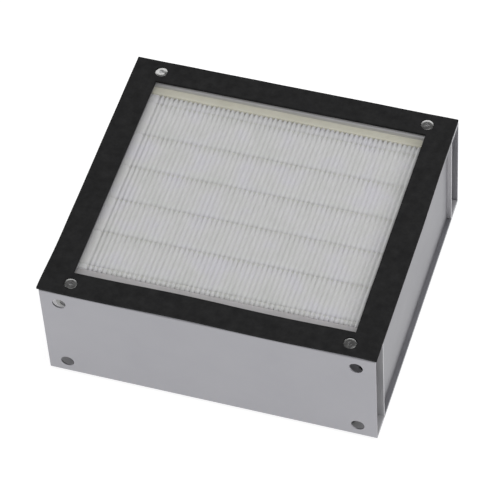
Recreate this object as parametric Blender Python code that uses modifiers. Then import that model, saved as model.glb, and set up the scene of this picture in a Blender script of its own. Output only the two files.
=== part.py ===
"""Filter cassette of a solder fume extractor: a riveted sheet-metal frame round a pleated pack.

Metres, +Z up. The origin is under the middle of the cassette, at the height of the bottom rivet heads,
which are its lowest points. X runs along the long sides, and the front faces -Y.
"""
import math

import bmesh
import bpy
from mathutils import Matrix

# Driving dimensions
WIDTH = 0.250                # along X, over the ends of the channels
DEPTH = 0.230                # along Y, over the front and back webs
FRAME_HEIGHT = 0.0927        # sheet-metal frame, without gasket and rivet heads
BORDER = 0.020               # width of the flanges and of the gasket strips
SHEET = 0.0012               # thickness of the frame's sheet
GAP = 0.0003                 # left between pieces that touch
BEND = 0.0012                # radius of a bend, at the middle of the sheet

# Blind rivets, 4.8 mm
HEAD_RADIUS = 0.00475
HEAD_HEIGHT = 0.0014
SHANK_RADIUS = 0.0024
BULGE_RADIUS = 0.0034
BORE_RADIUS = 0.00135
MANDREL_RADIUS = 0.00105
RIVET_HOLE_RADIUS = SHANK_RADIUS + GAP
RIVET_X = WIDTH / 2 - 0.0213          # rivets in the flanges
RIVET_Y = DEPTH / 2 - 0.0102
LEFT_TAB_RIVET_X = 0.0086 - WIDTH / 2     # rivets in the side channels' end tabs
RIGHT_TAB_RIVET_X = WIDTH / 2 - 0.0125    # further in, because none shows past the front panel's edge
TAB_RIVET_RISE = 0.0120                   # above and below mid-height

# Heights that follow
FRAME_BOTTOM = HEAD_HEIGHT + GAP
FRAME_TOP = FRAME_BOTTOM + FRAME_HEIGHT
FRAME_MIDDLE = (FRAME_BOTTOM + FRAME_TOP) / 2

# Channels
INNER_WEB_SETBACK = 0.0190            # from an outer web's outer face to the inner web's
SIDE_WEB_SETBACK = 0.0032             # from the frame's side plane to the side web's outer face
TAB_LENGTH = 0.0140                   # end tabs of the side channels
TAB_MARGIN = 0.0080                   # from a tab to the frame's top and bottom

# Holes in the front and back webs
FACE_HOLE_RADIUS = 0.0050
FACE_HOLE_X = WIDTH / 2 - 0.0144
FACE_HOLE_MARGIN = 0.0120             # from a hole's centre to the frame's top or bottom

# Foam gasket
GASKET_THICKNESS = 0.0020
GASKET_HOLE_RADIUS = 0.0055           # clears the rivet heads

# Pleated pack
PLEAT_PITCH = 0.0037
MEDIA_THICKNESS = 0.00045
FOLD_FLAT = 0.0008                    # flat top of a fold, along X
PACK_RECESS = 0.0048                  # from the frame's top to the resin, and the same below
FOLD_RECESS = 0.0005                  # from the resin's top to the middle of the folds
RESIN_FRONT = 0.0103                  # width of the resin strips, along Y
RESIN_BACK = 0.0060
FIRST_FOLD = -26.4                    # first and last upright fold, in pitches from the middle
LAST_FOLD = 30.6
EDGE_BEAD = 0.0030                    # legs of the beads that seal the outermost folds

# Hot-melt separators
SEPARATOR_PITCH = 0.0320
SEPARATOR_COUNT = 6
SEPARATOR_WIDTH = 0.0014
SEPARATOR_HEIGHT = 0.0005
SEPARATOR_LENGTH = 0.2320

# Planes that follow
INNER_WEB_OUTER_Y = DEPTH / 2 - INNER_WEB_SETBACK
INNER_WEB_INNER_Y = INNER_WEB_OUTER_Y - SHEET
SIDE_WEB_OUTER_X = WIDTH / 2 - SIDE_WEB_SETBACK
SIDE_WEB_INNER_X = SIDE_WEB_OUTER_X - SHEET
SIDE_END_Y = INNER_WEB_INNER_Y - GAP
TAB_INNER_Y = SIDE_END_Y - SHEET
TAB_INNER_X = SIDE_WEB_INNER_X - TAB_LENGTH
RESIN_TOP = FRAME_TOP - PACK_RECESS
RESIN_BOTTOM = FRAME_BOTTOM + PACK_RECESS
FOLD_TOP = RESIN_TOP - FOLD_RECESS
FOLD_BOTTOM = RESIN_BOTTOM + FOLD_RECESS
BLIND_LENGTH = 0.0068                 # how far a rivet and its mandrel reach behind the head's seat
CLEARANCE_RADIUS = BULGE_RADIUS + GAP


def new_collection(name):
    collection = bpy.data.collections.new(name)
    bpy.context.scene.collection.children.link(collection)
    return collection


def clear_scene():
    for thing in list(bpy.data.objects):
        bpy.data.objects.remove(thing, do_unlink=True)


clear_scene()
PARTS = new_collection("filter_cassette")
CUTTERS = new_collection("cutters")


# Materials
def material(name, colour, roughness, metallic=0.0):
    made = bpy.data.materials.new(name)
    made.use_nodes = True
    shader = made.node_tree.nodes["Principled BSDF"]
    shader.inputs["Base Color"].default_value = (*colour, 1.0)
    shader.inputs["Roughness"].default_value = roughness
    shader.inputs["Metallic"].default_value = metallic
    return made


SHEET_METAL = material("sheet_metal", (0.55, 0.55, 0.58), 0.45, 0.9)
RIVET_METAL = material("rivet_metal", (0.75, 0.75, 0.76), 0.25, 1.0)
MANDREL_STEEL = material("mandrel_steel", (0.35, 0.35, 0.36), 0.35, 1.0)
FOAM = material("black_foam", (0.02, 0.02, 0.021), 0.85)
MEDIA_PAPER = material("filter_paper", (0.80, 0.80, 0.80), 0.9)
RESIN = material("cream_resin", (0.62, 0.57, 0.42), 0.5)
HOT_MELT = material("hot_melt", (0.72, 0.70, 0.66), 0.4)


# Shapes
def add_mesh(name, mesh, finish, collection=None):
    thing = bpy.data.objects.new(name, mesh)
    (collection or PARTS).objects.link(thing)
    if finish:
        mesh.materials.clear()
        mesh.materials.append(finish)
    return thing


def mesh_from(bm, name):
    bmesh.ops.recalc_face_normals(bm, faces=bm.faces)
    mesh = bpy.data.meshes.new(name)
    bm.to_mesh(mesh)
    bm.free()
    return mesh


def add_box(bm, low, high):
    size = [b - a for a, b in zip(low, high)]
    middle = [(a + b) / 2 for a, b in zip(low, high)]
    matrix = Matrix.Translation(middle) @ Matrix.Diagonal((*size, 1.0))
    bmesh.ops.create_cube(bm, size=1.0, matrix=matrix)


def box(name, low, high, finish):
    bm = bmesh.new()
    add_box(bm, low, high)
    return add_mesh(name, mesh_from(bm, name), finish)


def hide_cutter(cutter):
    cutter.hide_render = True
    cutter.display_type = "WIRE"
    return cutter


def cylinder_cutter(name, centres, radius, length, axis):
    """Round cutters of one size along Z or Y, in one object."""
    bm = bmesh.new()
    turn = Matrix.Identity(4) if axis == "Z" else Matrix.Rotation(math.radians(90), 4, "X")
    for centre in centres:
        bmesh.ops.create_cone(bm, cap_ends=True, segments=24, radius1=radius, radius2=radius,
                              depth=length, matrix=Matrix.Translation(centre) @ turn)
    return hide_cutter(add_mesh(name, mesh_from(bm, name), None, CUTTERS))


def box_cutter(name, boxes):
    bm = bmesh.new()
    for low, high in boxes:
        add_box(bm, low, high)
    return hide_cutter(add_mesh(name, mesh_from(bm, name), None, CUTTERS))


def boolean(thing, other, operation="DIFFERENCE"):
    modifier = thing.modifiers.new(other.name, "BOOLEAN")
    modifier.operation = operation
    modifier.object = other


def sheet_surface(name, outline, half_length, axis):
    """An open surface: the outline, in (across, height), swept along X or Y."""
    bm = bmesh.new()
    rows = []
    for along in (-half_length, half_length):
        if axis == "X":
            rows.append([bm.verts.new((along, across, height)) for across, height in outline])
        else:
            rows.append([bm.verts.new((across, along, height)) for across, height in outline])
    edges = [bm.edges.new(pair) for pair in zip(rows[0], rows[0][1:])]
    other = [bm.edges.new(pair) for pair in zip(rows[1], rows[1][1:])]
    bmesh.ops.bridge_loops(bm, edges=edges + other)
    return mesh_from(bm, name)


def thicken(thing, thickness):
    modifier = thing.modifiers.new("sheet", "SOLIDIFY")
    modifier.thickness = thickness
    modifier.offset = 0.0
    modifier.use_even_offset = True


def round_bends(thing, radius):
    modifier = thing.modifiers.new("bends", "BEVEL")
    modifier.width = radius
    modifier.segments = 3
    modifier.limit_method = "ANGLE"


# Cutters
FLANGE_RIVETS = [(x, y) for x in (-RIVET_X, RIVET_X) for y in (-RIVET_Y, RIVET_Y)]
TAB_RIVET_HEIGHTS = (FRAME_MIDDLE + TAB_RIVET_RISE, FRAME_MIDDLE - TAB_RIVET_RISE)
FACE_HOLE_HEIGHTS = (FRAME_TOP - FACE_HOLE_MARGIN, FRAME_BOTTOM + FACE_HOLE_MARGIN)

flange_hole_cutter = cylinder_cutter(
    "flange_hole_cutter", [(x, y, FRAME_MIDDLE) for x, y in FLANGE_RIVETS],
    RIVET_HOLE_RADIUS, FRAME_HEIGHT + 2 * BORDER, "Z")
face_hole_cutter = cylinder_cutter(
    "face_hole_cutter",
    [(x, y, z) for x in (-FACE_HOLE_X, FACE_HOLE_X) for y in (-DEPTH / 2, DEPTH / 2)
     for z in FACE_HOLE_HEIGHTS],
    FACE_HOLE_RADIUS, 8 * SHEET, "Y")
tab_hole_cutter = cylinder_cutter(
    "tab_hole_cutter",
    [(x, y, z) for x in (LEFT_TAB_RIVET_X, RIGHT_TAB_RIVET_X) for y in (-SIDE_END_Y, SIDE_END_Y)
     for z in TAB_RIVET_HEIGHTS],
    RIVET_HOLE_RADIUS, 6 * SHEET, "Y")
gasket_hole_cutter = cylinder_cutter(
    "gasket_hole_cutter", [(x, y, FRAME_TOP) for x, y in FLANGE_RIVETS],
    GASKET_HOLE_RADIUS, BORDER, "Z")


# Frame
def outer_channel(name, side):
    """A C channel with its web outside; side is -1 at the front and 1 at the back."""
    web = side * (DEPTH - SHEET) / 2
    flange = side * (DEPTH / 2 - BORDER)
    low = FRAME_BOTTOM + SHEET / 2
    high = FRAME_TOP - SHEET / 2
    outline = [(flange, high), (web, high), (web, low), (flange, low)]
    channel = add_mesh(name, sheet_surface(name, outline, WIDTH / 2, "X"), SHEET_METAL)
    round_bends(channel, BEND)
    thicken(channel, SHEET)
    boolean(channel, face_hole_cutter)
    boolean(channel, flange_hole_cutter)


def inner_channel(name, side):
    """A C channel nested in the outer one, with its web towards the pack."""
    web = side * (INNER_WEB_OUTER_Y - SHEET / 2)
    flange = side * (DEPTH / 2 - SHEET - GAP)
    low = FRAME_BOTTOM + SHEET + GAP + SHEET / 2
    high = FRAME_TOP - SHEET - GAP - SHEET / 2
    outline = [(flange, high), (web, high), (web, low), (flange, low)]
    channel = add_mesh(name, sheet_surface(name, outline, WIDTH / 2, "X"), SHEET_METAL)
    round_bends(channel, BEND)
    thicken(channel, SHEET)
    boolean(channel, flange_hole_cutter)
    boolean(channel, tab_hole_cutter)


def side_channel(name, side):
    """A C channel with hemmed lips outside its web, and end tabs riveted to the inner channels."""
    flange = side * (WIDTH / 2 - BORDER)
    lip = side * (WIDTH - SHEET) / 2
    web = side * (SIDE_WEB_OUTER_X - SHEET / 2)
    top = FRAME_TOP - SHEET / 2
    top_hem = top - SHEET - GAP
    bottom = FRAME_BOTTOM + SHEET / 2
    bottom_hem = bottom + SHEET + GAP
    outline = [(flange, top), (lip, top), (lip, top_hem), (web, top_hem),
               (web, bottom_hem), (lip, bottom_hem), (lip, bottom), (flange, bottom)]
    channel = add_mesh(name, sheet_surface(name, outline, SIDE_END_Y, "Y"), SHEET_METAL)
    thicken(channel, SHEET)
    near = side * SIDE_WEB_OUTER_X
    far = side * TAB_INNER_X
    tabs = []
    for end in (-1, 1):
        ys = sorted((end * TAB_INNER_Y, end * SIDE_END_Y))
        xs = sorted((near, far))
        tabs.append(((xs[0], ys[0], FRAME_BOTTOM + TAB_MARGIN), (xs[1], ys[1], FRAME_TOP - TAB_MARGIN)))
    boolean(channel, box_cutter(name + "_tabs", tabs), "UNION")
    boolean(channel, tab_hole_cutter)


for end_name, end_side in (("front", -1), ("back", 1)):
    outer_channel(end_name + "_outer_channel", end_side)
    inner_channel(end_name + "_inner_channel", end_side)
for side_name, side_sign in (("left", -1), ("right", 1)):
    side_channel(side_name + "_side_channel", side_sign)


# Gasket: the side strips run the full depth, the front and back strips fit between them
def gasket_strip(name, low, high):
    floor = FRAME_TOP + GAP
    strip = box(name, (*low, floor), (*high, floor + GASKET_THICKNESS), FOAM)
    boolean(strip, gasket_hole_cutter)


def make_gasket():
    half_x = WIDTH / 2
    half_y = DEPTH / 2
    seam = half_x - BORDER
    gasket_strip("gasket_left", (-half_x, -half_y), (-seam, half_y))
    gasket_strip("gasket_right", (seam, -half_y), (half_x, half_y))
    gasket_strip("gasket_front", (-seam + GAP, -half_y), (seam - GAP, -half_y + BORDER))
    gasket_strip("gasket_back", (-seam + GAP, half_y - BORDER), (seam - GAP, half_y))


make_gasket()


# Pleated pack
def fold_outline():
    """One sheet folded up and down; its ends lie flat and run out to the side channels."""
    reach = SIDE_WEB_INNER_X - 2 * GAP
    half = FOLD_FLAT / 2
    left_edge = (FIRST_FOLD - 1) * PLEAT_PITCH
    right_edge = (LAST_FOLD + 1) * PLEAT_PITCH
    outline = [(-reach, FOLD_TOP), (left_edge + half, FOLD_TOP)]
    for step in range(round(LAST_FOLD - FIRST_FOLD) + 1):
        x = (FIRST_FOLD + step) * PLEAT_PITCH
        valley = x - PLEAT_PITCH / 2
        outline += [(valley - half, FOLD_BOTTOM), (valley + half, FOLD_BOTTOM)]
        outline += [(x - half, FOLD_TOP), (x + half, FOLD_TOP)]
    valley = right_edge - PLEAT_PITCH / 2
    outline += [(valley - half, FOLD_BOTTOM), (valley + half, FOLD_BOTTOM)]
    return outline + [(right_edge - half, FOLD_TOP), (reach, FOLD_TOP)]


def pleated_media():
    front = -SIDE_END_Y + RESIN_FRONT + GAP
    back = SIDE_END_Y - RESIN_BACK - GAP
    mesh = sheet_surface("pleated_media", fold_outline(), (back - front) / 2, "Y")
    media = add_mesh("pleated_media", mesh, MEDIA_PAPER)
    media.location.y = (front + back) / 2
    thicken(media, MEDIA_THICKNESS)


def potting(name, side, width, rivet_clearance):
    """Resin that seals the pleat ends to an inner channel, shaped round the tabs and the rivets."""
    reach = SIDE_WEB_INNER_X - GAP
    ys = sorted((side * (SIDE_END_Y - width), side * SIDE_END_Y))
    resin = box(name, (-reach, ys[0], RESIN_BOTTOM), (reach, ys[1], RESIN_TOP), RESIN)
    tabs = []
    for x_side in (-1, 1):
        xs = sorted((x_side * (TAB_INNER_X - GAP), x_side * WIDTH / 2))
        cut = sorted((side * (TAB_INNER_Y - GAP), side * (SIDE_END_Y + BORDER)))
        tabs.append(((xs[0], cut[0], 0.0), (xs[1], cut[1], FRAME_TOP)))
    boolean(resin, box_cutter(name + "_tab_cutter", tabs))
    boolean(resin, rivet_clearance)


def rivet_clearance(side):
    """Room in the resin for the blind ends of the tab rivets."""
    seat = INNER_WEB_OUTER_Y + GAP
    depth = BLIND_LENGTH + GAP
    centres = [(x, side * (seat - depth / 2), z)
               for x in (LEFT_TAB_RIVET_X, RIGHT_TAB_RIVET_X) for z in TAB_RIVET_HEIGHTS]
    name = "front_blind_end_cutter" if side < 0 else "back_blind_end_cutter"
    return cylinder_cutter(name, centres, CLEARANCE_RADIUS, depth, "Y")


def edge_sealant(name, side):
    """A bead in the corner between the outermost fold and the side channel's web."""
    wall = side * (SIDE_WEB_INNER_X - GAP)
    floor = FOLD_TOP + MEDIA_THICKNESS / 2 + GAP
    front = -SIDE_END_Y + RESIN_FRONT + GAP
    back = SIDE_END_Y - RESIN_BACK - GAP
    bm = bmesh.new()
    outline = [(wall, floor), (wall, floor + EDGE_BEAD), (wall - side * EDGE_BEAD, floor)]
    face = bm.faces.new([bm.verts.new((x, front, z)) for x, z in outline])
    swept = bmesh.ops.extrude_face_region(bm, geom=[face])["geom"]
    bmesh.ops.translate(bm, verts=[v for v in swept if isinstance(v, bmesh.types.BMVert)],
                        vec=(0.0, back - front, 0.0))
    add_mesh(name, mesh_from(bm, name), RESIN)


def separators():
    """Hot-melt threads across the folds, above and below the pack."""
    surface = FOLD_TOP + MEDIA_THICKNESS / 2 + GAP
    half = SEPARATOR_LENGTH / 2
    for index in range(SEPARATOR_COUNT):
        y = (index - (SEPARATOR_COUNT - 1) / 2) * SEPARATOR_PITCH
        low_y = y - SEPARATOR_WIDTH / 2
        high_y = y + SEPARATOR_WIDTH / 2
        box(f"separator_top_{index + 1}", (-half, low_y, surface),
            (half, high_y, surface + SEPARATOR_HEIGHT), HOT_MELT)
        below = FOLD_BOTTOM + FOLD_TOP - surface
        box(f"separator_bottom_{index + 1}", (-half, low_y, below - SEPARATOR_HEIGHT),
            (half, high_y, below), HOT_MELT)


pleated_media()
potting("potting_front", -1, RESIN_FRONT, rivet_clearance(-1))
potting("potting_back", 1, RESIN_BACK, rivet_clearance(1))
edge_sealant("edge_sealant_left", -1)
edge_sealant("edge_sealant_right", 1)
separators()


# Rivets: a hollow body that is turned round Z, with its head's seat at z = 0, and a mandrel stub in it
GRIP = 2 * SHEET + 3 * GAP            # two sheets and the gaps on both sides of each

BODY_PROFILE = [
    (BORE_RADIUS, HEAD_HEIGHT - 0.0001),
    (BORE_RADIUS + 0.0004, HEAD_HEIGHT),
    (0.65 * HEAD_RADIUS, 0.85 * HEAD_HEIGHT),
    (0.90 * HEAD_RADIUS, 0.50 * HEAD_HEIGHT),
    (HEAD_RADIUS, 0.20 * HEAD_HEIGHT),
    (HEAD_RADIUS, 0.0),
    (SHANK_RADIUS, 0.0),
    (SHANK_RADIUS, -GRIP),
    (BULGE_RADIUS, -GRIP - 0.0006),
    (BULGE_RADIUS, -GRIP - 0.0018),
    (0.75 * BULGE_RADIUS, -GRIP - 0.0026),
    (BORE_RADIUS, -GRIP - 0.0026),
]
MANDREL_PROFILE = [
    (0.0, HEAD_HEIGHT - 0.0004),
    (0.8 * MANDREL_RADIUS, HEAD_HEIGHT - 0.0005),
    (MANDREL_RADIUS, HEAD_HEIGHT - 0.0008),
    (MANDREL_RADIUS, -GRIP - 0.0026 - GAP),
    (1.7 * MANDREL_RADIUS, -GRIP - 0.0026 - GAP),
    (1.7 * MANDREL_RADIUS, -BLIND_LENGTH + 0.0002),
    (0.0, -BLIND_LENGTH),
]


def turned_mesh(name, profile, closed):
    """A profile in the XZ plane, as edges for a Screw modifier."""
    bm = bmesh.new()
    verts = [bm.verts.new((radius, 0.0, height)) for radius, height in profile]
    for pair in zip(verts, verts[1:]):
        bm.edges.new(pair)
    if closed:
        bm.edges.new((verts[-1], verts[0]))
    mesh = bpy.data.meshes.new(name)
    bm.to_mesh(mesh)
    bm.free()
    return mesh


def turned(name, mesh, finish, steps, place):
    thing = add_mesh(name, mesh, None)
    if not mesh.materials:
        mesh.materials.append(finish)
    modifier = thing.modifiers.new("turned", "SCREW")
    modifier.steps = steps
    modifier.render_steps = steps
    modifier.use_merge_vertices = True
    modifier.merge_threshold = 0.00001
    modifier.use_smooth_shade = True
    thing.matrix_world = place


BODY_MESH = turned_mesh("rivet_body", BODY_PROFILE, True)
MANDREL_MESH = turned_mesh("rivet_mandrel", MANDREL_PROFILE, False)


def rivet(name, point, turn):
    """A rivet whose head faces along turn's Z."""
    place = Matrix.Translation(point) @ turn
    turned("rivet_" + name, BODY_MESH, RIVET_METAL, 12, place)
    turned("mandrel_" + name, MANDREL_MESH, MANDREL_STEEL, 8, place)


def all_rivets():
    up = Matrix.Identity(4)
    down = Matrix.Rotation(math.radians(180), 4, "X")
    for x_side, x_name, tab_rivet_x in ((-1, "left", LEFT_TAB_RIVET_X), (1, "right", RIGHT_TAB_RIVET_X)):
        for y_side, y_name in ((-1, "front"), (1, "back")):
            corner = f"{y_name}_{x_name}"
            spot = (x_side * RIVET_X, y_side * RIVET_Y)
            rivet("top_" + corner, (*spot, FRAME_TOP + GAP), up)
            rivet("bottom_" + corner, (*spot, FRAME_BOTTOM - GAP), down)
            outward = Matrix.Rotation(math.radians(-90 * y_side), 4, "X")
            seat = y_side * (INNER_WEB_OUTER_Y + GAP)
            for height, level in zip(TAB_RIVET_HEIGHTS, ("upper", "lower")):
                rivet(f"tab_{corner}_{level}", (tab_rivet_x, seat, height), outward)


all_rivets()
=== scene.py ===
"""The looks of the filter cassette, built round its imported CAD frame. Metres, +Z up."""
import math
import random

import bmesh
import bpy
import numpy as np
from mathutils import Matrix, Vector, noise


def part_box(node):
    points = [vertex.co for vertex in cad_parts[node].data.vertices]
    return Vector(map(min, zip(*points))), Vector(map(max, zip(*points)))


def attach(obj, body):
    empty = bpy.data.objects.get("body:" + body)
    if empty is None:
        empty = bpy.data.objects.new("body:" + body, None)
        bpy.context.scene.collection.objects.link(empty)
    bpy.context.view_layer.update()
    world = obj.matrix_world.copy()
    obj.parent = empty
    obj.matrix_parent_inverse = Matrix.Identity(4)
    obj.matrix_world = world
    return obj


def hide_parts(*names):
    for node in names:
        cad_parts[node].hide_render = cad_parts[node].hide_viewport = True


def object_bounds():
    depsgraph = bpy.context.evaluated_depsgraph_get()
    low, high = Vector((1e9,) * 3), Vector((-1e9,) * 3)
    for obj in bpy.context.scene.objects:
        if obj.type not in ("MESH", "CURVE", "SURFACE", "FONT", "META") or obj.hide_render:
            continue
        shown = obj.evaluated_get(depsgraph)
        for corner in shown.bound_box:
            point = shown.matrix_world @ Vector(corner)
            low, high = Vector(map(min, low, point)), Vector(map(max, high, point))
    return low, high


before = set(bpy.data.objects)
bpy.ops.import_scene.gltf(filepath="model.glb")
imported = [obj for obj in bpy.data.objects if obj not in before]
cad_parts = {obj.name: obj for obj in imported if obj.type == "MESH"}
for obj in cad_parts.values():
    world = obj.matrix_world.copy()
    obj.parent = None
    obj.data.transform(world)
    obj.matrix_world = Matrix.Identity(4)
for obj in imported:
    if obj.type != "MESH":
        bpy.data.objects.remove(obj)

CAD_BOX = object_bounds()
BODY = "root"


# Sizes read from the frame
def span(node, axis):
    low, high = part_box(node)
    return low[axis], high[axis]


def middle(node):
    low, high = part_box(node)
    return (low + high) / 2


GAP = 0.0003                                        # the CAD model's clearance between pieces
HALF_WIDTH = span("front_outer_channel", 0)[1]
FRONT = span("front_outer_channel", 1)[0]
HALF_DEPTH = -FRONT
FRAME_BOTTOM, FRAME_TOP = span("front_outer_channel", 2)
SHEET = FRAME_TOP - span("front_inner_channel", 2)[1] - GAP
BORDER = span("front_outer_channel", 1)[1] - FRONT
INNER_WEB = -span("front_inner_channel", 1)[1]      # |Y| of the inner channels' faces on the pack's side
SIDE_END = span("right_side_channel", 1)[1]
GASKET_LOW, GASKET_HIGH = span("gasket_left", 2)
SEAM = span("gasket_right", 0)[0]
RESIN_LOW, RESIN_HIGH = span("potting_front", 2)
PACK_FRONT, PACK_BACK = span("pleated_media", 1)
PACK_LOW, PACK_HIGH = span("pleated_media", 2)
PACK_REACH = span("pleated_media", 0)[1]
RIVET_SPOT = middle("rivet_top_back_right")
TAB_SPOTS = [middle(f"rivet_tab_back_{side}_upper") for side in ("left", "right")]
FRAME_MIDDLE = (FRAME_BOTTOM + FRAME_TOP) / 2
SEPARATORS = [middle(f"separator_top_{i}")[1] for i in range(1, 7)]

# Sizes that the frame's boxes don't tell, as in the CAD model
BEND = 0.0012                  # bend radius at the middle of the sheet
SIDE_SETBACK = 0.0032          # from the side plane to a side channel's web
TAB_LENGTH = 0.0140
TAB_MARGIN = 0.0080
FACE_HOLE_INSET = 0.0144       # from the side plane to a hole in a web
FACE_HOLE_MARGIN = 0.0120      # from the frame's top or bottom
FACE_HOLE_RADIUS = 0.0050
RIVET_HOLE_RADIUS = 0.0027
GASKET_HOLE_RADIUS = 0.0050     # the foam closes up round the rivet heads
PLEAT_PITCH = 0.0037
FIRST_FOLD = -26.4
LAST_FOLD = 30.6
PAPER = 0.00045


# Camera and light
def aim_camera():
    """A long lens from the front right and above, as far round, up and tilted as the view needs."""
    azimuth, elevation, roll = (math.radians(a) for a in (20.285, 51.253, -4.213))
    back = Vector((math.sin(azimuth) * math.cos(elevation),
                   -math.cos(azimuth) * math.cos(elevation), math.sin(elevation)))
    level = Vector((math.cos(azimuth), math.sin(azimuth), 0.0))
    upright = back.cross(level)
    right = math.cos(roll) * level + math.sin(roll) * upright
    up = back.cross(right)
    data = bpy.data.cameras.new("camera")
    data.lens = 221.5
    data.sensor_width = 36.0
    data.clip_end = 20.0
    camera = bpy.data.objects.new("camera", data)
    turn = Matrix((right, up, back)).transposed().to_4x4()
    camera.matrix_world = Matrix.Translation(Vector((-0.0027, -0.0045, 0.0454)) + back * 2.2761) @ turn
    bpy.context.scene.collection.objects.link(camera)
    bpy.context.scene.camera = camera


def area_light(name, place, target, size, power):
    data = bpy.data.lights.new(name, "AREA")
    data.shape = "RECTANGLE"
    data.size, data.size_y = size
    data.energy = power
    light = bpy.data.objects.new(name, data)
    direction = Vector(target) - Vector(place)
    light.rotation_euler = direction.to_track_quat("-Z", "Y").to_euler()
    light.location = place
    bpy.context.scene.collection.objects.link(light)


def light_studio():
    """A white room with softboxes overhead, behind, at both sides and in front."""
    bpy.context.scene.view_settings.view_transform = "Standard"
    world = bpy.data.worlds.new("studio")
    world.use_nodes = True
    world.node_tree.nodes["Background"].inputs["Color"].default_value = (1.0, 1.0, 1.0, 1.0)
    world.node_tree.nodes["Background"].inputs["Strength"].default_value = 0.25
    bpy.context.scene.world = world
    area_light("over", (0.35, -0.30, 1.65), (0, 0, 0.05), (2.4, 1.8), 14.5)
    area_light("back", (-0.10, 1.70, 1.22), (0, 0, 0.08), (2.2, 0.75), 11.0)
    area_light("left", (-1.20, -0.20, 0.80), (0, 0, 0.05), (0.8, 0.6), 2.0)
    area_light("right", (1.30, 0.10, 0.90), (0.05, 0.0, 0.05), (0.8, 0.6), 3.5)
    area_light("front_fill", (0.1, -1.7, 0.50), (0, 0, 0.05), (1.4, 0.6), 1.2)


def lay_floor():
    bm = bmesh.new()
    bmesh.ops.create_grid(bm, x_segments=2, y_segments=2, size=6.0)
    mesh = bpy.data.meshes.new("floor")
    bm.to_mesh(mesh)
    bm.free()
    floor = bpy.data.objects.new("floor", mesh)
    bpy.context.scene.collection.objects.link(floor)
    floor.location.z = CAD_BOX[0][2]
    mesh.materials.append(pale_floor())


# Materials
def new_material(name):
    made = bpy.data.materials.new(name)
    made.use_nodes = True
    nodes = made.node_tree.nodes
    return made, nodes, made.node_tree.links, nodes["Principled BSDF"]


def pale_floor():
    made, _, _, shader = new_material("pale_floor")
    shader.inputs["Base Color"].default_value = (0.38, 0.38, 0.38, 1.0)
    shader.inputs["Roughness"].default_value = 0.9
    shader.inputs["Emission Color"].default_value = (1.0, 1.0, 1.0, 1.0)
    shader.inputs["Emission Strength"].default_value = 0.80
    return made


def mapped(nodes, links, scale=(1.0, 1.0, 1.0)):
    """Object coordinates, stretched by scale: a large number gives fine detail along that axis."""
    where = nodes.new("ShaderNodeTexCoord")
    mapping = nodes.new("ShaderNodeMapping")
    mapping.inputs["Scale"].default_value = scale
    links.new(where.outputs["Object"], mapping.inputs["Vector"])
    return mapping.outputs["Vector"]


def noise_node(nodes, links, vector, scale, detail=3.0, roughness=0.5):
    made = nodes.new("ShaderNodeTexNoise")
    made.inputs["Scale"].default_value = scale
    made.inputs["Detail"].default_value = detail
    made.inputs["Roughness"].default_value = roughness
    links.new(vector, made.inputs["Vector"])
    return made.outputs["Fac"]


def ramp(nodes, links, factor, stops):
    made = nodes.new("ShaderNodeValToRGB")
    made.color_ramp.elements[0].position = stops[0][0]
    made.color_ramp.elements[0].color = (*stops[0][1], 1.0)
    made.color_ramp.elements[1].position = stops[-1][0]
    made.color_ramp.elements[1].color = (*stops[-1][1], 1.0)
    for position, colour in stops[1:-1]:
        made.color_ramp.elements.new(position).color = (*colour, 1.0)
    links.new(factor, made.inputs["Fac"])
    return made.outputs["Color"]


def bump(nodes, links, height, strength, distance, below=None):
    made = nodes.new("ShaderNodeBump")
    made.inputs["Strength"].default_value = strength
    made.inputs["Distance"].default_value = distance
    links.new(height, made.inputs["Height"])
    if below:
        links.new(below, made.inputs["Normal"])
    return made.outputs["Normal"]


def map_range(nodes, links, value, low, high, to_low, to_high):
    made = nodes.new("ShaderNodeMapRange")
    for key, number in (("From Min", low), ("From Max", high), ("To Min", to_low), ("To Max", to_high)):
        made.inputs[key].default_value = number
    links.new(value, made.inputs["Value"])
    return made.outputs["Result"]


def sheet_metal(name, grain, dark, light, metallic=0.80):
    """Mill-finished sheet: satin, faintly cloudy, with fine rolling lines across grain's large axes."""
    made, nodes, links, shader = new_material(name)
    plain = mapped(nodes, links)
    clouds = noise_node(nodes, links, plain, 28.0, 4.0, 0.55)
    colour = ramp(nodes, links, clouds, [(0.30, dark), (0.70, light)])
    links.new(colour, shader.inputs["Base Color"])
    lines = noise_node(nodes, links, mapped(nodes, links, grain), 1.0, 3.0, 0.6)
    links.new(map_range(nodes, links, clouds, 0.3, 0.7, 0.38, 0.46), shader.inputs["Roughness"])
    shader.inputs["Metallic"].default_value = metallic
    waves = bump(nodes, links, noise_node(nodes, links, plain, 14.0, 1.0), 0.10, 0.004)
    links.new(bump(nodes, links, lines, 0.05, 0.0002, waves), shader.inputs["Normal"])
    return made


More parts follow.
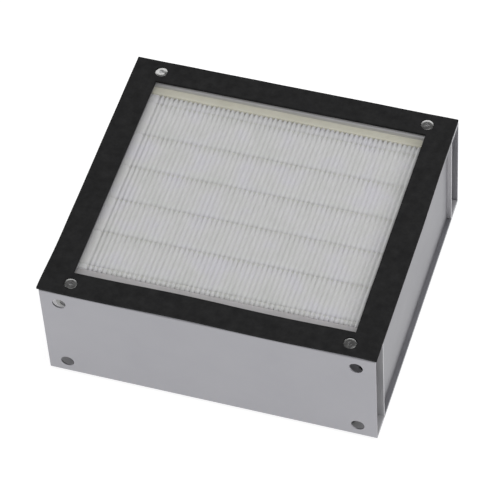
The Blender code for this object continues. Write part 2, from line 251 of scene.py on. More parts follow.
def foam():
    """Closed-cell foam: black and matte, with fine cells and a little dust."""
    made, nodes, links, shader = new_material("black_foam")
    plain = mapped(nodes, links)
    mottle = noise_node(nodes, links, plain, 160.0, 4.0, 0.6)
    base = ramp(nodes, links, mottle, [(0.30, (0.014, 0.014, 0.0145)), (0.72, (0.024, 0.024, 0.0245))])
    specks = nodes.new("ShaderNodeTexVoronoi")
    specks.inputs["Scale"].default_value = 55.0
    links.new(plain, specks.inputs["Vector"])
    rare = noise_node(nodes, links, mapped(nodes, links, (1.0, 1.0, 0.0)), 30.0, 0.0)
    close = map_range(nodes, links, specks.outputs["Distance"], 0.020, 0.034, 1.0, 0.0)
    seldom = map_range(nodes, links, rare, 0.60, 0.64, 0.0, 1.0)
    both = nodes.new("ShaderNodeMath")
    both.operation = "MULTIPLY"
    links.new(close, both.inputs[0])
    links.new(seldom, both.inputs[1])
    mix = nodes.new("ShaderNodeMix")
    mix.data_type = "RGBA"
    links.new(both.outputs[0], mix.inputs["Factor"])
    links.new(base, mix.inputs[6])
    mix.inputs[7].default_value = (0.32, 0.32, 0.31, 1.0)
    links.new(mix.outputs[2], shader.inputs["Base Color"])
    shader.inputs["Roughness"].default_value = 0.88
    shader.inputs["Specular IOR Level"].default_value = 0.12
    cells = nodes.new("ShaderNodeTexVoronoi")
    cells.inputs["Scale"].default_value = 1500.0
    links.new(plain, cells.inputs["Vector"])
    soft = bump(nodes, links, noise_node(nodes, links, plain, 90.0, 2.0), 0.25, 0.0006)
    links.new(bump(nodes, links, cells.outputs["Distance"], 0.35, 0.0003, soft), shader.inputs["Normal"])
    return made


def filter_paper():
    """Glass-fibre paper: white, matte, fibrous, letting a little light through."""
    made, nodes, links, shader = new_material("filter_paper")
    plain = mapped(nodes, links)
    fibres = noise_node(nodes, links, mapped(nodes, links, (1.0, 0.35, 1.0)), 900.0, 4.0, 0.65)
    patches = noise_node(nodes, links, plain, 45.0, 2.0)
    colour = ramp(nodes, links, patches, [(0.30, (0.620, 0.625, 0.615)), (0.50, (0.645, 0.645, 0.645)),
                                          (0.72, (0.645, 0.64, 0.675))])
    links.new(colour, shader.inputs["Base Color"])
    shader.inputs["Roughness"].default_value = 0.95
    shader.inputs["Specular IOR Level"].default_value = 0.2
    shader.inputs["Subsurface Weight"].default_value = 0.5
    shader.inputs["Subsurface Radius"].default_value = (1.0, 1.0, 1.0)
    shader.inputs["Subsurface Scale"].default_value = 0.0012
    links.new(bump(nodes, links, fibres, 0.35, 0.0002), shader.inputs["Normal"])
    return made


def cast_resin(name, light, dark):
    """Poured sealing resin: opaque, smooth, a little glossy, with slow lumps and a few pinholes."""
    made, nodes, links, shader = new_material(name)
    plain = mapped(nodes, links)
    patches = noise_node(nodes, links, plain, 60.0, 3.0)
    links.new(ramp(nodes, links, patches, [(0.30, dark), (0.70, light)]), shader.inputs["Base Color"])
    shader.inputs["Roughness"].default_value = 0.42
    shader.inputs["Subsurface Weight"].default_value = 0.15
    shader.inputs["Subsurface Radius"].default_value = (1.0, 0.9, 0.7)
    shader.inputs["Subsurface Scale"].default_value = 0.001
    pinholes = nodes.new("ShaderNodeTexVoronoi")
    pinholes.inputs["Scale"].default_value = 260.0
    links.new(plain, pinholes.inputs["Vector"])
    pits = map_range(nodes, links, pinholes.outputs["Distance"], 0.05, 0.16, 0.0, 1.0)
    slow = bump(nodes, links, noise_node(nodes, links, plain, 110.0, 2.0), 0.3, 0.0010)
    links.new(bump(nodes, links, pits, 0.15, 0.0002, slow), shader.inputs["Normal"])
    return made


def hot_melt():
    """Hot-melt glue: greyish white, waxy and a little translucent."""
    made, nodes, links, shader = new_material("hot_melt")
    plain = mapped(nodes, links)
    patches = noise_node(nodes, links, plain, 200.0, 3.0)
    colour = ramp(nodes, links, patches, [(0.30, (0.51, 0.515, 0.49)), (0.70, (0.60, 0.605, 0.575))])
    links.new(colour, shader.inputs["Base Color"])
    shader.inputs["Roughness"].default_value = 0.35
    shader.inputs["Subsurface Weight"].default_value = 0.4
    shader.inputs["Subsurface Radius"].default_value = (1.0, 1.0, 0.8)
    shader.inputs["Subsurface Scale"].default_value = 0.001
    links.new(bump(nodes, links, patches, 0.3, 0.0003), shader.inputs["Normal"])
    return made


def bright_metal(name, dark, light, roughness):
    """Drawn rivet metal: bright, with faint forming marks."""
    made, nodes, links, shader = new_material(name)
    plain = mapped(nodes, links)
    marks = noise_node(nodes, links, plain, 420.0, 3.0, 0.6)
    links.new(ramp(nodes, links, marks, [(0.30, dark), (0.70, light)]), shader.inputs["Base Color"])
    links.new(map_range(nodes, links, marks, 0.3, 0.7, roughness - 0.05, roughness + 0.08),
              shader.inputs["Roughness"])
    shader.inputs["Metallic"].default_value = 1.0
    links.new(bump(nodes, links, marks, 0.10, 0.0002), shader.inputs["Normal"])
    return made


ROLLED_ALONG_X = (14.0, 900.0, 900.0)
ROLLED_ALONG_Y = (900.0, 14.0, 900.0)
FINISH = {
    "outer_sheet": sheet_metal("outer_sheet", ROLLED_ALONG_X, (0.360, 0.358, 0.383), (0.392, 0.390, 0.414)),
    # inner channels: the same sheet as the outer ones, painted lighter and made less metallic, as painted
    # light on the channels' insides, the back wall and what shows through the face holes
    "inner_sheet_painted_light": sheet_metal("inner_sheet_painted_light", ROLLED_ALONG_X, (0.57, 0.566, 0.585), (0.62, 0.616, 0.63), 0.6),
    # side channels: the same sheet painted darker, as painted shade on the side webs
    "side_sheet_painted_shade": sheet_metal("side_sheet_painted_shade", ROLLED_ALONG_Y, (0.240, 0.239, 0.257), (0.268, 0.267, 0.285)),
    "foam": foam(),
    "paper": filter_paper(),
    "cream_resin": cast_resin("cream_resin", (0.70, 0.685, 0.59), (0.64, 0.625, 0.525)),
    "grey_resin": cast_resin("grey_resin", (0.425, 0.413, 0.418), (0.37, 0.358, 0.363)),
    "hot_melt": hot_melt(),
    "rivet": bright_metal("rivet_metal", (0.21, 0.21, 0.208), (0.32, 0.32, 0.316), 0.15),
    "mandrel": bright_metal("mandrel_steel", (0.18, 0.18, 0.184), (0.29, 0.29, 0.294), 0.20),
}


# Mesh tools
def add_piece(name, mesh, finish, node):
    """A finished piece that stands for one node of the frame."""
    piece = bpy.data.objects.new(name, mesh)
    bpy.context.scene.collection.objects.link(piece)
    mesh.materials.clear()
    mesh.materials.append(FINISH[finish])
    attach(piece, BODY)
    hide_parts(node)
    return piece


def temporary(mesh):
    """An object that is only worked on: baked_mesh or the caller removes it."""
    thing = bpy.data.objects.new(mesh.name, mesh)
    bpy.context.scene.collection.objects.link(thing)
    return thing


def baked_mesh(thing, name):
    """The object's evaluated mesh; the object itself is removed."""
    bpy.context.view_layer.update()
    graph = bpy.context.evaluated_depsgraph_get()
    mesh = bpy.data.meshes.new_from_object(thing.evaluated_get(graph))
    mesh.name = name
    bpy.data.objects.remove(thing, do_unlink=True)
    return mesh


def mesh_of(bm, name):
    """The finished bmesh as a mesh, with its normals outwards."""
    bmesh.ops.recalc_face_normals(bm, faces=bm.faces)
    mesh = bpy.data.meshes.new(name)
    bm.to_mesh(mesh)
    bm.free()
    return mesh


def swept_outline(name, outline, half_length, axis):
    """An open surface: the outline, in (across, height), swept along X or Y."""
    bm = bmesh.new()
    rows = []
    for along in (-half_length, half_length):
        if axis == "X":
            rows.append([bm.verts.new((along, across, height)) for across, height in outline])
        else:
            rows.append([bm.verts.new((across, along, height)) for across, height in outline])
    for a, b, c, d in zip(rows[0], rows[0][1:], rows[1][1:], rows[1]):
        bm.faces.new((a, b, c, d))
    return mesh_of(bm, name)


def round_cutter(centres, radius, length, axis):
    bm = bmesh.new()
    turn = Matrix.Identity(4) if axis == "Z" else Matrix.Rotation(math.radians(90), 4, "X")
    for centre in centres:
        bmesh.ops.create_cone(bm, cap_ends=True, segments=64, radius1=radius, radius2=radius,
                              depth=length, matrix=Matrix.Translation(centre) @ turn)
    return temporary(mesh_of(bm, "cutter"))


def box_mesh(name, boxes):
    bm = bmesh.new()
    for low, high in boxes:
        size = [b - a for a, b in zip(low, high)]
        centre = [(a + b) / 2 for a, b in zip(low, high)]
        matrix = Matrix.Translation(centre) @ Matrix.Diagonal((*size, 1.0))
        bmesh.ops.create_cube(bm, size=1.0, matrix=matrix)
    return mesh_of(bm, name)


def add_boolean(thing, other, operation="DIFFERENCE"):
    modifier = thing.modifiers.new("cut", "BOOLEAN")
    modifier.operation = operation
    modifier.object = other


def add_bevel(thing, width, segments, angle=40):
    modifier = thing.modifiers.new("edges", "BEVEL")
    modifier.width = width
    modifier.segments = segments
    modifier.limit_method = "ANGLE"
    modifier.angle_limit = math.radians(angle)


def add_weighted_normals(thing):
    modifier = thing.modifiers.new("normals", "WEIGHTED_NORMAL")
    modifier.keep_sharp = True
    modifier.weight = 100


def smooth(mesh, angle=35):
    for polygon in mesh.polygons:
        polygon.use_smooth = True
    mesh.set_sharp_from_angle(angle=math.radians(angle))


def swept_rings(name, rings):
    """A skin through closed rings of the same number of points, with flat ends."""
    count = len(rings[0])
    points = [p for ring in rings for p in ring]
    faces = []
    for i in range(len(rings) - 1):
        for j in range(count):
            k = (j + 1) % count
            faces.append((i * count + j, i * count + k, (i + 1) * count + k, (i + 1) * count + j))
    faces.append(tuple(range(count)))
    faces.append(tuple(range((len(rings) - 1) * count, len(rings) * count)))
    mesh = bpy.data.meshes.new(name)
    mesh.from_pydata([tuple(p) for p in points], [], faces)
    bm = bmesh.new()
    bm.from_mesh(mesh)
    bpy.data.meshes.remove(mesh)
    return mesh_of(bm, name)


def ripple(x, y, z, seed=0.0):
    """Smooth noise from -1 to 1."""
    return noise.noise(Vector((x + 17.3 * seed, y - 9.1 * seed, z + 4.7 * seed)))


# Sheet-metal frame
FLANGE_RIVETS = [(sx * RIVET_SPOT.x, sy * RIVET_SPOT.y) for sx in (-1, 1) for sy in (-1, 1)]
TAB_RIVETS = [(spot.x, z) for spot in TAB_SPOTS for z in (spot.z, 2 * FRAME_MIDDLE - spot.z)]
EDGE_ROUNDING = 0.00014


def bent_sheet(name, outline, half_length, axis, bend, holes, tabs=None):
    """A folded sheet with its holes cut and all its edges eased."""
    thing = temporary(swept_outline(name, outline, half_length, axis))
    if bend:
        add_bevel(thing, bend, 6)
    thickness = thing.modifiers.new("sheet", "SOLIDIFY")
    thickness.thickness = SHEET
    thickness.offset = 0.0
    thickness.use_even_offset = True
    helpers = []
    if tabs:
        helpers.append(temporary(box_mesh("tabs", tabs)))
        add_boolean(thing, helpers[0], "UNION")
    for centres, radius, length, direction in holes:
        helpers.append(round_cutter(centres, radius, length, direction))
        add_boolean(thing, helpers[-1])
    solid = temporary(baked_mesh(thing, name))
    for helper in helpers:
        bpy.data.objects.remove(helper, do_unlink=True)
    add_bevel(solid, EDGE_ROUNDING, 2, 50)
    mesh = baked_mesh(solid, name)
    smooth(mesh)
    finished = temporary(mesh)
    add_weighted_normals(finished)
    return baked_mesh(finished, name)


def flange_holes():
    centres = [(x, y, FRAME_MIDDLE) for x, y in FLANGE_RIVETS]
    return centres, RIVET_HOLE_RADIUS, 4 * FRAME_TOP, "Z"


def tab_holes():
    centres = [(x, side * SIDE_END, z) for x, z in TAB_RIVETS for side in (-1, 1)]
    return centres, RIVET_HOLE_RADIUS, 6 * SHEET, "Y"


def face_holes():
    x = HALF_WIDTH - FACE_HOLE_INSET
    heights = (FRAME_TOP - FACE_HOLE_MARGIN, FRAME_BOTTOM + FACE_HOLE_MARGIN)
    centres = [(sx * x, sy * HALF_DEPTH, z) for sx in (-1, 1) for sy in (-1, 1) for z in heights]
    return centres, FACE_HOLE_RADIUS, 8 * SHEET, "Y"


def make_outer_channel(end, side):
    web = side * (HALF_DEPTH - SHEET / 2)
    lip = side * (HALF_DEPTH - BORDER)
    low, high = FRAME_BOTTOM + SHEET / 2, FRAME_TOP - SHEET / 2
    mesh = bent_sheet(f"{end}_outer_sheet", [(lip, high), (web, high), (web, low), (lip, low)],
                      HALF_WIDTH, "X", BEND, [face_holes(), flange_holes()])
    add_piece(f"{end}_outer_sheet", mesh, "outer_sheet", f"{end}_outer_channel")


def make_inner_channel(end, side):
    web = side * (INNER_WEB + SHEET / 2)
    lip = side * (HALF_DEPTH - SHEET - GAP)
    inset = SHEET + GAP + SHEET / 2
    low, high = FRAME_BOTTOM + inset, FRAME_TOP - inset
    mesh = bent_sheet(f"{end}_inner_sheet_painted_light", [(lip, high), (web, high), (web, low), (lip, low)],
                      HALF_WIDTH, "X", BEND, [flange_holes(), tab_holes()])
    # painted light: the inner channels take the lighter copy of the sheet
    add_piece(f"{end}_inner_sheet_painted_light", mesh, "inner_sheet_painted_light", f"{end}_inner_channel")


def make_side_channel(name, side):
    flange = side * (HALF_WIDTH - BORDER)
    lip = side * (HALF_WIDTH - SHEET / 2)
    outer_face = HALF_WIDTH - SIDE_SETBACK
    web = side * (outer_face - SHEET / 2)
    top, bottom = FRAME_TOP - SHEET / 2, FRAME_BOTTOM + SHEET / 2
    hem = SHEET + GAP
    outline = [(flange, top), (lip, top), (lip, top - hem), (web, top - hem),
               (web, bottom + hem), (lip, bottom + hem), (lip, bottom), (flange, bottom)]
    xs = sorted((side * outer_face, side * (outer_face - SHEET - TAB_LENGTH)))
    tabs = []
    for end in (-1, 1):
        ys = sorted((end * SIDE_END, end * (SIDE_END - SHEET)))
        tabs.append(((xs[0], ys[0], FRAME_BOTTOM + TAB_MARGIN), (xs[1], ys[1], FRAME_TOP - TAB_MARGIN)))
    mesh = bent_sheet(f"{name}_side_sheet_painted_shade", outline, SIDE_END, "Y", 0.0, [tab_holes()], tabs)
    # painted shade: the side channels take the darker copy of the sheet
    add_piece(f"{name}_side_sheet_painted_shade", mesh, "side_sheet_painted_shade", f"{name}_side_channel")


# Gasket
FOAM_STEP = 0.0024             # spacing of the points on a strip's faces
FOAM_EDGE = 0.00035            # rounding of its edges
DIMPLE_DEPTH = 0.0004          # how far the rivets draw the foam down
DIMPLE_REACH = 0.0035


def foam_sag(x, y):
    """How far the foam's top lies below its full height: drawn down by the rivets, and never quite flat."""
    drop = 0.00006 * (1 + ripple(70 * x, 70 * y, 0.0, 1))
    for rx, ry in FLANGE_RIVETS:
        away = max(0.0, math.hypot(x - rx, y - ry) - GASKET_HOLE_RADIUS)
        drop += DIMPLE_DEPTH * math.exp(-((away / DIMPLE_REACH) ** 1.5))
    return drop


def wander(along, seed, low, high):
    """A slow drift between two distances, along a strip."""
    return low + (high - low) * (0.5 + 0.5 * ripple(26 * along, 0.0, 0.0, seed))


def near(coordinate, edge):
    """From 1 on an edge to 0 a few millimetres away from it."""
    return max(0.0, 1.0 - abs(coordinate - edge) / 0.004)


def foam_shift(x, y):
    """How far the hand-laid foam lies from its true place: the front strip weaves, the others drift."""
    front_corner = math.exp(-(((y + HALF_DEPTH) / 0.030) ** 2))
    shift_x = -near(x, -HALF_WIDTH) * (0.0012 * front_corner + wander(y, 1, 0.0, 0.0004))
    shift_x += near(x, HALF_WIDTH) * (0.0008 - 0.0009 * min(1.0, max(0.0, (y - 0.01) / 0.06)))
    shift_x += near(x, HALF_WIDTH - BORDER) * wander(y, 3, -0.0003, 0.0003)
    weave = max(0.0, min(1.0, (-HALF_DEPTH + BORDER + 0.006 - y) / 0.006))
    ends = min(1.0, (HALF_WIDTH - abs(x)) / 0.012)
    shift_y = -0.00045 * weave * ends * math.cos(2 * math.pi * (x - 0.045) / 0.135)
    shift_y -= near(y, HALF_DEPTH - BORDER) * wander(x, 6, -0.0002, 0.0003)
    shift_y -= near(y, HALF_DEPTH) * wander(x, 7, -0.0001, 0.0004)
    return shift_x, shift_y


def foam_strip(name, low, high):
    width, length = high[0] - low[0], high[1] - low[1]
    bm = bmesh.new()
    matrix = Matrix.Translation(((low[0] + high[0]) / 2, (low[1] + high[1]) / 2, GASKET_HIGH))
    matrix = matrix @ Matrix.Diagonal((width / 2, length / 2, 1.0, 1.0))
    bmesh.ops.create_grid(bm, x_segments=max(2, round(width / FOAM_STEP)),
                          y_segments=max(2, round(length / FOAM_STEP)), size=1.0, matrix=matrix)
    thing = temporary(mesh_of(bm, name))
    depth = thing.modifiers.new("depth", "SOLIDIFY")
    depth.thickness = GASKET_HIGH - GASKET_LOW
    depth.offset = -1.0
    cutter = round_cutter([(x, y, GASKET_HIGH) for x, y in FLANGE_RIVETS], GASKET_HOLE_RADIUS, 0.02, "Z")
    add_boolean(thing, cutter)
    solid = temporary(baked_mesh(thing, name))
    bpy.data.objects.remove(cutter, do_unlink=True)
    add_bevel(solid, FOAM_EDGE, 3, 50)
    mesh = baked_mesh(solid, name)
    for vertex in mesh.vertices:
        x, y, z = vertex.co
        share = (z - GASKET_LOW) / (GASKET_HIGH - GASKET_LOW)
        vertex.co.z = z - share * foam_sag(x, y)
        shift_x, shift_y = foam_shift(x, y)
        vertex.co.x, vertex.co.y = x + shift_x, y + shift_y
    smooth(mesh, 60)
    strip = add_piece(f"{name}_foam", mesh, "foam", name)


def make_gasket():
    inner = HALF_DEPTH - BORDER
    foam_strip("gasket_left", (-HALF_WIDTH, -HALF_DEPTH), (-SEAM, HALF_DEPTH))
    foam_strip("gasket_right", (SEAM, -HALF_DEPTH), (HALF_WIDTH, HALF_DEPTH))
    butt = SEAM - GAP / 3
    foam_strip("gasket_front", (-butt, -HALF_DEPTH), (butt, -inner))
    foam_strip("gasket_back", (-butt, inner), (butt, HALF_DEPTH))


# Pleated media
CREST_WIDE = 0.00175           # half-width of a fold between two separators, at the middle of the paper
CREST_TIGHT = 0.00138          # and in front of a separator, where the strand pinches it
CREST_RISE = 0.00072           # height of a fold's rounded top between two separators
CREST_RISE_TIGHT = 0.00150
CREST_POINTS = 11
VALLEY_POINTS = 4
SHOULDER_DROP = 0.009          # from a fold's top down to where its straight legs begin
EMBEDDED = 0.0006              # how far the ends run into the resin


def along_samples():
    """Y positions of the paper's points: close together at the separators and at both ends."""
    offsets = [0.0, 0.0004, 0.0008, 0.0013, 0.0020, 0.0032, 0.0052]
    ends = [0.0, 0.0005, 0.0010, 0.0016, 0.0024, 0.0036]
    found = {PACK_FRONT - EMBEDDED, PACK_BACK + EMBEDDED}
    found |= {PACK_FRONT + e for e in ends} | {PACK_BACK - e for e in ends}
    for y in SEPARATORS:
        found |= {y + o for o in offsets} | {y - o for o in offsets}
    middles = [(a + b) / 2 for a, b in zip(SEPARATORS, SEPARATORS[1:])]
    for y in middles:
        found |= {y + step * 0.0034 for step in (-2, -1, 0, 1, 2)}
    ordered = sorted(y for y in found if PACK_FRONT - EMBEDDED <= y <= PACK_BACK + EMBEDDED)
    kept = [ordered[0]]
    for y in ordered[1:]:
        if y - kept[-1] > 0.00025:
            kept.append(y)
    return kept


def separator_nearness(y, reach):
    return max(math.exp(-((y - s) / reach) ** 2) for s in SEPARATORS)


def pinch(y):
    """How tightly a fold is held: most just in front of a separator and at the ends."""
    ahead = min((s - y for s in SEPARATORS if s > y), default=1.0)
    behind = min((y - s for s in SEPARATORS if s <= y), default=1.0)
    front, back = max(0.0, y - PACK_FRONT), max(0.0, PACK_BACK - y)
    return max(math.exp(-ahead / 0.005), math.exp(-((behind / 0.0012) ** 2)),
               1.1 * math.exp(-front / 0.003), 1.15 * math.exp(-back / 0.0035))


def crest_height(k, y):
    """Height of the middle of the paper on a fold's top."""
    top = PACK_HIGH - PAPER / 2 - 0.00012 + 0.00010 * ripple(3.1 * k, 25 * y, 0.0, 5)
    top -= 0.00045 * separator_nearness(y, 0.0006)
    end = min(y - PACK_FRONT, PACK_BACK - y)
    return top - 0.0006 * math.exp(-max(end, -0.0004) / 0.0005)


def crest_half_width(k, y):
    half = CREST_WIDE + (CREST_TIGHT - CREST_WIDE) * pinch(y)
    return half * (1 + 0.02 * ripple(2.7 * k, 40 * y, 0.0, 6))


def fold_top(x, half, top, rise, start=-1.0, end=1.0, count=CREST_POINTS):
    """Points over a fold's rounded top, from left to right, as far as start and end of its half-width."""
    steps = np.linspace(start, end, count)
    return [(x + t * half, top - rise * (1 - math.cos(t * math.pi)) / 2) for t in steps]


def crest_rise(y):
    return CREST_RISE + (CREST_RISE_TIGHT - CREST_RISE) * min(1.0, pinch(y))


def fold_shift(k, y):
    """Sideways wander of a fold, which dies out where the separators hold it."""
    free = 1 - 0.7 * separator_nearness(y, 0.006)
    return free * (0.00013 * ripple(1.9 * k, 33 * y, 0.0, 7) + 0.00010 * ripple(0.4 * k, 15 * y, 0.0, 8))


def valley_bottom(valley, spread):
    """Points round the bottom of the gap between two folds, from left to right."""
    arc = []
    for a in np.linspace(180, 360, VALLEY_POINTS):
        r = math.radians(a)
        arc.append((valley + spread * 0.95 * math.cos(r), PACK_LOW + PAPER / 2 + spread * (1 + math.sin(r))))
    return arc


def paper_line(y):
    """The paper's middle line at one Y, from the left side to the right, in (x, z)."""
    half_pitch = PLEAT_PITCH / 2
    spread = half_pitch / 2
    line = []
    first = FIRST_FOLD - 1
    edge_x = first * PLEAT_PITCH + fold_shift(first, y)
    edge_z = crest_height(first, y)
    edge_half = crest_half_width(first, y)
    rise = crest_rise(y)
    for t in np.linspace(0.0, 1.0, 9)[:-1]:
        x = -PACK_REACH + t * (edge_x + PACK_REACH)
        fall = min(1.0, (edge_x - x) / 0.006)
        line.append((x, edge_z - 0.0003 * math.sin(fall * math.pi / 2)))
    line += fold_top(edge_x, edge_half, edge_z, rise, start=0.0, count=5)
    folds = [FIRST_FOLD + i for i in range(round(LAST_FOLD - FIRST_FOLD) + 1)]
    for k in folds:
        x = k * PLEAT_PITCH
        shift, half, top = fold_shift(k, y), crest_half_width(k, y), crest_height(k, y)
        valley = x - half_pitch
        line.append((valley - spread + shift * 0.5, top - SHOULDER_DROP))
        line += valley_bottom(valley, spread)
        line.append((valley + spread + shift * 0.5, top - SHOULDER_DROP))
        line += fold_top(x + shift, half, top, rise)
    last = LAST_FOLD + 1
    valley = (last - 0.5) * PLEAT_PITCH
    line.append((valley - spread, PACK_HIGH - SHOULDER_DROP))
    line += valley_bottom(valley, spread)
    top = crest_height(last, y)
    line += fold_top(last * PLEAT_PITCH, CREST_WIDE, top, rise, end=0.0, count=5)
    line.append((PACK_REACH, top - 0.0002))
    return line


def make_media():
    ys = along_samples()
    rows = [paper_line(y) for y in ys]
    count = len(rows[0])
    points = [(x, y, z) for y, row in zip(ys, rows) for x, z in row]
    faces = []
    for i in range(len(ys) - 1):
        for j in range(count - 1):
            a = i * count + j
            faces.append((a, a + 1, a + count + 1, a + count))
    mesh = bpy.data.meshes.new("folded_paper")
    mesh.from_pydata(points, [], faces)
    thing = temporary(mesh)
    thickness = thing.modifiers.new("paper", "SOLIDIFY")
    thickness.thickness = PAPER
    thickness.offset = 0.0
    baked = baked_mesh(thing, "folded_paper")
    smooth(baked, 60)
    add_piece("folded_paper", baked, "paper", "pleated_media")


# Hot-melt separators
STRAND_RING = 12
STRAND_STEPS = 8               # rings for each pleat
STRAND_SINK = 0.0006           # from the pack's surface down to the top of a strand over a fold
STRAND_DEPTH = 0.0040          # how much deeper it reaches in the gap between two folds
STRAND_HALF = 0.00035          # half its width over a fold
STRAND_SMEAR = 0.0028          # how far it is smeared forwards in a gap


def strand_ring(x, y, above):
    """A closed ring round the strand at one X: thin over a fold, smeared forwards in the gap beside it."""
    sign = 1 if above else -1
    surface = PACK_HIGH if above else PACK_LOW
    phase = math.cos(2 * math.pi * (x / PLEAT_PITCH - FIRST_FOLD - (0.0 if above else 0.5)))
    gap_share = 1 - max(0.0, phase) ** 0.7
    lump = ripple(400 * x, 90 * y, 0.0, 9)
    top = -STRAND_SINK - STRAND_SINK * gap_share + 0.00012 * lump
    bottom = -0.0010 - STRAND_DEPTH * gap_share
    behind = STRAND_HALF + 0.00020 * gap_share
    ahead = STRAND_HALF + (STRAND_SMEAR + 0.0008 * lump) * gap_share
    ring = []
    for j in range(STRAND_RING):
        a = 2 * math.pi * j / STRAND_RING
        u, v = math.cos(a), math.sin(a)
        u = math.copysign(abs(u) ** 0.75, u)
        v = math.copysign(abs(v) ** 0.75, v)
        depth = (top + bottom) / 2 + v * (top - bottom) / 2
        if u < 0:
            depth -= 0.0010 * gap_share * u * u
        ring.append((x, y + (behind if u > 0 else ahead) * u, surface + sign * depth))
    return ring


def make_separators():
    end = span("separator_top_1", 0)[1]
    first_fold_below = (FIRST_FOLD - 0.5) * PLEAT_PITCH
    for index, y in enumerate(SEPARATORS):
        for level, above in (("top", True), ("bottom", False)):
            start = -end if above else first_fold_below - 0.0006
            steps = round((end - start) / PLEAT_PITCH * STRAND_STEPS)
            rings = [strand_ring(start + (end - start) * i / steps, y, above) for i in range(steps + 1)]
            mesh = swept_rings(f"hot_melt_{level}_{index + 1}", rings)
            smooth(mesh, 80)
            add_piece(mesh.name, mesh, "hot_melt", f"separator_{level}_{index + 1}")


# Sealing resin
WALL_FILL = 0.00026            # most of the gap that the CAD model keeps between resin and wall
BACK_SLOPE = 0.0008            # how much lower the back strip lies at its right end


def resin_profile(x, side, inner, wall):
    """A closed ring of the strip at one X: it climbs the wall and the paper, and sags between."""
    width = abs(wall - inner) + WALL_FILL
    tabbed = abs(x) > HALF_WIDTH - SIDE_SETBACK - SHEET - TAB_LENGTH - GAP
    limit = abs(wall) - SHEET - GAP if tabbed else abs(wall) + WALL_FILL
    phase = math.cos(2 * math.pi * (x / PLEAT_PITCH - FIRST_FOLD))
    swell = 0.00012 * ripple(60 * x, 0.0, 0.0, 11 + side) - 0.0001
    if side > 0:
        swell -= BACK_SLOPE * min(1.0, max(0.0, 0.5 + x / 0.2))
    ring = []
    shape = [(0.0, -0.0030), (0.0, -0.0016), (0.02, -0.0010), (0.06, -0.00055), (0.13, -0.00028),
             (0.25, -0.00020), (0.45, -0.00026), (0.65, -0.00028), (0.82, -0.00022), (0.93, -0.00012),
             (0.98, 0.00005), (1.0, 0.00020)]
    for part, rise in shape:
        notch = 0.0005 * (1 - phase) * max(0.0, 1 - part / 0.14)
        y = abs(inner) + part * width
        ring.append((x, side * min(y, limit), RESIN_HIGH + rise + swell - notch))
    for part, rise in reversed(shape):
        y = abs(inner) + part * width
        ring.append((x, side * min(y, limit), RESIN_LOW - rise))
    return ring


def make_potting(end, side, finish):
    low, high = span(f"potting_{end}", 1)
    inner, wall = (high, low) if side < 0 else (low, high)
    reach = span(f"potting_{end}", 0)[1]
    count = round(2 * reach / PLEAT_PITCH * 6)
    rings = [resin_profile(-reach + 2 * reach * i / count, side, inner, wall) for i in range(count + 1)]
    mesh = swept_rings(f"{end}_resin", rings)
    smooth(mesh, 50)
    add_piece(f"{end}_resin", mesh, finish, f"potting_{end}")


def make_edge_sealant(name, side):
    low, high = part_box(f"edge_sealant_{name}")
    wall = high.x if side > 0 else low.x
    leg = high.z - low.z
    rings = []
    count = 90
    for i in range(count + 1):
        y = low.y + (high.y - low.y) * i / count
        size = leg * (0.90 + 0.08 * ripple(0.0, 60 * y, 0.0, 14 + side))
        ring = [(wall, y, low.z)]
        for a in np.linspace(0, 90, 8):
            r = math.radians(a)
            ring.append((wall - side * size * (1 - math.sin(r)), y, low.z + size * (1 - math.cos(r))))
        rings.append(ring)
    mesh = swept_rings(f"{name}_edge_resin", rings)
    smooth(mesh, 50)
    add_piece(mesh.name, mesh, "cream_resin", f"edge_sealant_{name}")


# Rivets
RIVET_STEPS = 56
HEAD_RADIUS = (span("rivet_top_back_right", 0)[1] - span("rivet_top_back_right", 0)[0]) / 2
HEAD_SEAT = FRAME_TOP + GAP
HEAD_HEIGHT = span("rivet_top_back_right", 2)[1] - HEAD_SEAT
BLIND_END = span("rivet_top_back_right", 2)[0] - HEAD_SEAT
GRIP = 2 * SHEET + 3 * GAP     # two sheets and the gaps beside them
# The heads that clearly aren't level, in radians about X and Y, and the one of them that is bent as well:
# heading in radians, start in metres, slope
LEANS = {"top_back_left": (-0.085, -0.035), "top_front_left": (-0.022, 0.030)}
BENDS = {"top_back_left": (1.1, 0.0004, 0.11)}


def lathe(name, profile, steps):
    """A closed skin round Z through a profile of (radius, height), from the axis or as a closed loop."""
    on_axis = profile[0][0] == 0.0
    points, faces = [], []
    inner = profile[1:-1] if on_axis else profile
    for i in range(steps):
        a = 2 * math.pi * i / steps
        points += [(r * math.cos(a), r * math.sin(a), z) for r, z in inner]
    count = len(inner)
    for i in range(steps):
        n = (i + 1) % steps
        for j in range(count - 1 if on_axis else count):
            k = (j + 1) % count
            faces.append((i * count + j, i * count + k, n * count + k, n * count + j))
        if on_axis:
            faces.append((steps * count, i * count, n * count))
            faces.append((steps * count + 1, n * count + count - 1, i * count + count - 1))
    if on_axis:
        points += [(0.0, 0.0, profile[0][1]), (0.0, 0.0, profile[-1][1])]
    mesh = bpy.data.meshes.new(name)
    mesh.from_pydata(points, [], faces)
    bm = bmesh.new()
    bm.from_mesh(mesh)
    bpy.data.meshes.remove(mesh)
    made = mesh_of(bm, name)
    smooth(made, 40)
    return made


def head_arc():
    """The head's outside, flat in the middle with a sloping shoulder, from the mandrel's mouth outwards."""
    rim, flat = 0.00030, 0.60 * HEAD_RADIUS
    shoulder = HEAD_RADIUS - rim - flat
    arc = [(part * flat, HEAD_HEIGHT - 0.00002 * part ** 2) for part in np.linspace(0.55, 1.0, 4)]
    drop = arc[-1][1]
    arc += [(flat + part * shoulder, drop - 0.00015 * part ** 1.5) for part in np.linspace(0.2, 1.0, 5)]
    drop = arc[-1][1]
    for a in np.linspace(20, 90, 6):
        r = math.radians(a)
        arc.append((HEAD_RADIUS - rim + rim * math.sin(r), drop - rim * (1 - math.cos(r))))
    return arc + [(HEAD_RADIUS, 0.00012), (HEAD_RADIUS - 0.00012, 0.0)]


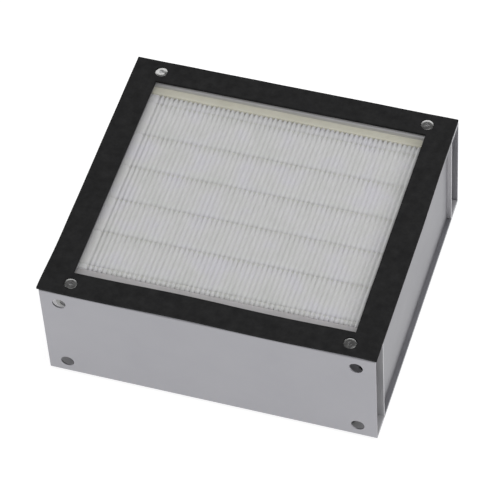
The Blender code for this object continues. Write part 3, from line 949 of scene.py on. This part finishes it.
def rivet_profile():
    bore, shank, bulge = 0.00135, 0.0024, 0.0034
    mouth = [(bore, HEAD_HEIGHT - 0.0004), (bore, HEAD_HEIGHT - 0.00006),
             (bore + 0.00006, HEAD_HEIGHT - 0.00001)]
    blind = [(shank, 0.0), (shank, -GRIP)]
    for a in np.linspace(90, -90, 9):
        r = math.radians(a)
        middle_z = (-GRIP + BLIND_END) / 2 + 0.0002
        blind.append((shank + (bulge - shank) * math.cos(r), middle_z + (-GRIP - middle_z) * math.sin(r)))
    blind += [(bore + 0.0004, BLIND_END + 0.0001), (bore, BLIND_END)]
    return mouth + head_arc() + blind


def mandrel_profile():
    """The stub left in a set rivet: snapped off flush with the head."""
    low, _ = span("mandrel_top_back_right", 2)
    stem, top, end = 0.00128, HEAD_HEIGHT - 0.00004, low - HEAD_SEAT
    knob = 0.00178
    shoulder = BLIND_END - GAP
    return [(0.0, top - 0.00004), (0.35 * stem, top - 0.00001), (0.7 * stem, top - 0.00003),
            (0.95 * stem, top - 0.00002), (stem, top - 0.00008), (stem, shoulder), (0.93 * knob, shoulder),
            (knob, shoulder - 0.0001), (knob, end + 0.0003), (0.6 * knob, end + 0.00005), (0.0, end)]


def bend_head(mesh, heading, start, slope):
    """Raise one side of a leaning head past a straight line across it, so that only the rest leans."""
    for vertex in mesh.vertices:
        x, y, z = vertex.co
        past = x * math.cos(heading) + y * math.sin(heading) - start
        if past > 0.0 and z > 0.0:
            vertex.co.z = z + slope * past * z / HEAD_HEIGHT


def make_rivets():
    body_mesh = lathe("rivet_skin", rivet_profile(), RIVET_STEPS)
    stub_mesh = lathe("mandrel_skin", mandrel_profile(), 32)
    down = Matrix.Rotation(math.radians(180), 4, "X")
    places = {}
    for sx, x_name, tab_rivets in ((-1, "left", TAB_RIVETS[:2]), (1, "right", TAB_RIVETS[2:])):
        for sy, y_name in ((-1, "front"), (1, "back")):
            corner = f"{y_name}_{x_name}"
            spot = Vector((sx * RIVET_SPOT.x, sy * RIVET_SPOT.y, 0.0))
            places[f"top_{corner}"] = Matrix.Translation(spot + Vector((0, 0, HEAD_SEAT)))
            places[f"bottom_{corner}"] = Matrix.Translation(spot + Vector((0, 0, FRAME_BOTTOM - GAP))) @ down
            outward = Matrix.Rotation(math.radians(-90 * sy), 4, "X")
            seat = sy * (INNER_WEB + SHEET + GAP)
            for (x, z), level in zip(tab_rivets, ("upper", "lower")):
                places[f"tab_{corner}_{level}"] = Matrix.Translation((x, seat, z)) @ outward
    turns = random.Random(4)
    for name, place in places.items():
        lean = LEANS.get(name, (turns.uniform(-0.02, 0.02), turns.uniform(-0.02, 0.02)))
        if name.startswith("bottom"):
            lean = (0.0, 0.0)          # these heads rest on the floor
        spin = Matrix.Rotation(lean[0], 4, "X") @ Matrix.Rotation(lean[1], 4, "Y")
        spin = spin @ Matrix.Rotation(turns.uniform(0, 6.28), 4, "Z")
        for prefix, mesh, finish, slot in (("rivet", body_mesh, "rivet", "rivet_metal"),
                                           ("mandrel", stub_mesh, "mandrel", "mandrel_steel")):
            copy = mesh.copy()
            copy.transform(spin)
            if name in BENDS:
                bend_head(copy, *BENDS[name])
            copy.transform(place)
            add_piece(f"{prefix}_{name}_turned", copy, finish, f"{prefix}_{name}")


aim_camera()
light_studio()
lay_floor()
for end_name, end_side in (("front", -1), ("back", 1)):
    make_outer_channel(end_name, end_side)
    make_inner_channel(end_name, end_side)
for side_name, side_sign in (("left", -1), ("right", 1)):
    make_side_channel(side_name, side_sign)
    make_edge_sealant(side_name, side_sign)
make_gasket()
make_media()
make_separators()
make_potting("front", -1, "grey_resin")
make_potting("back", 1, "cream_resin")
make_rivets()
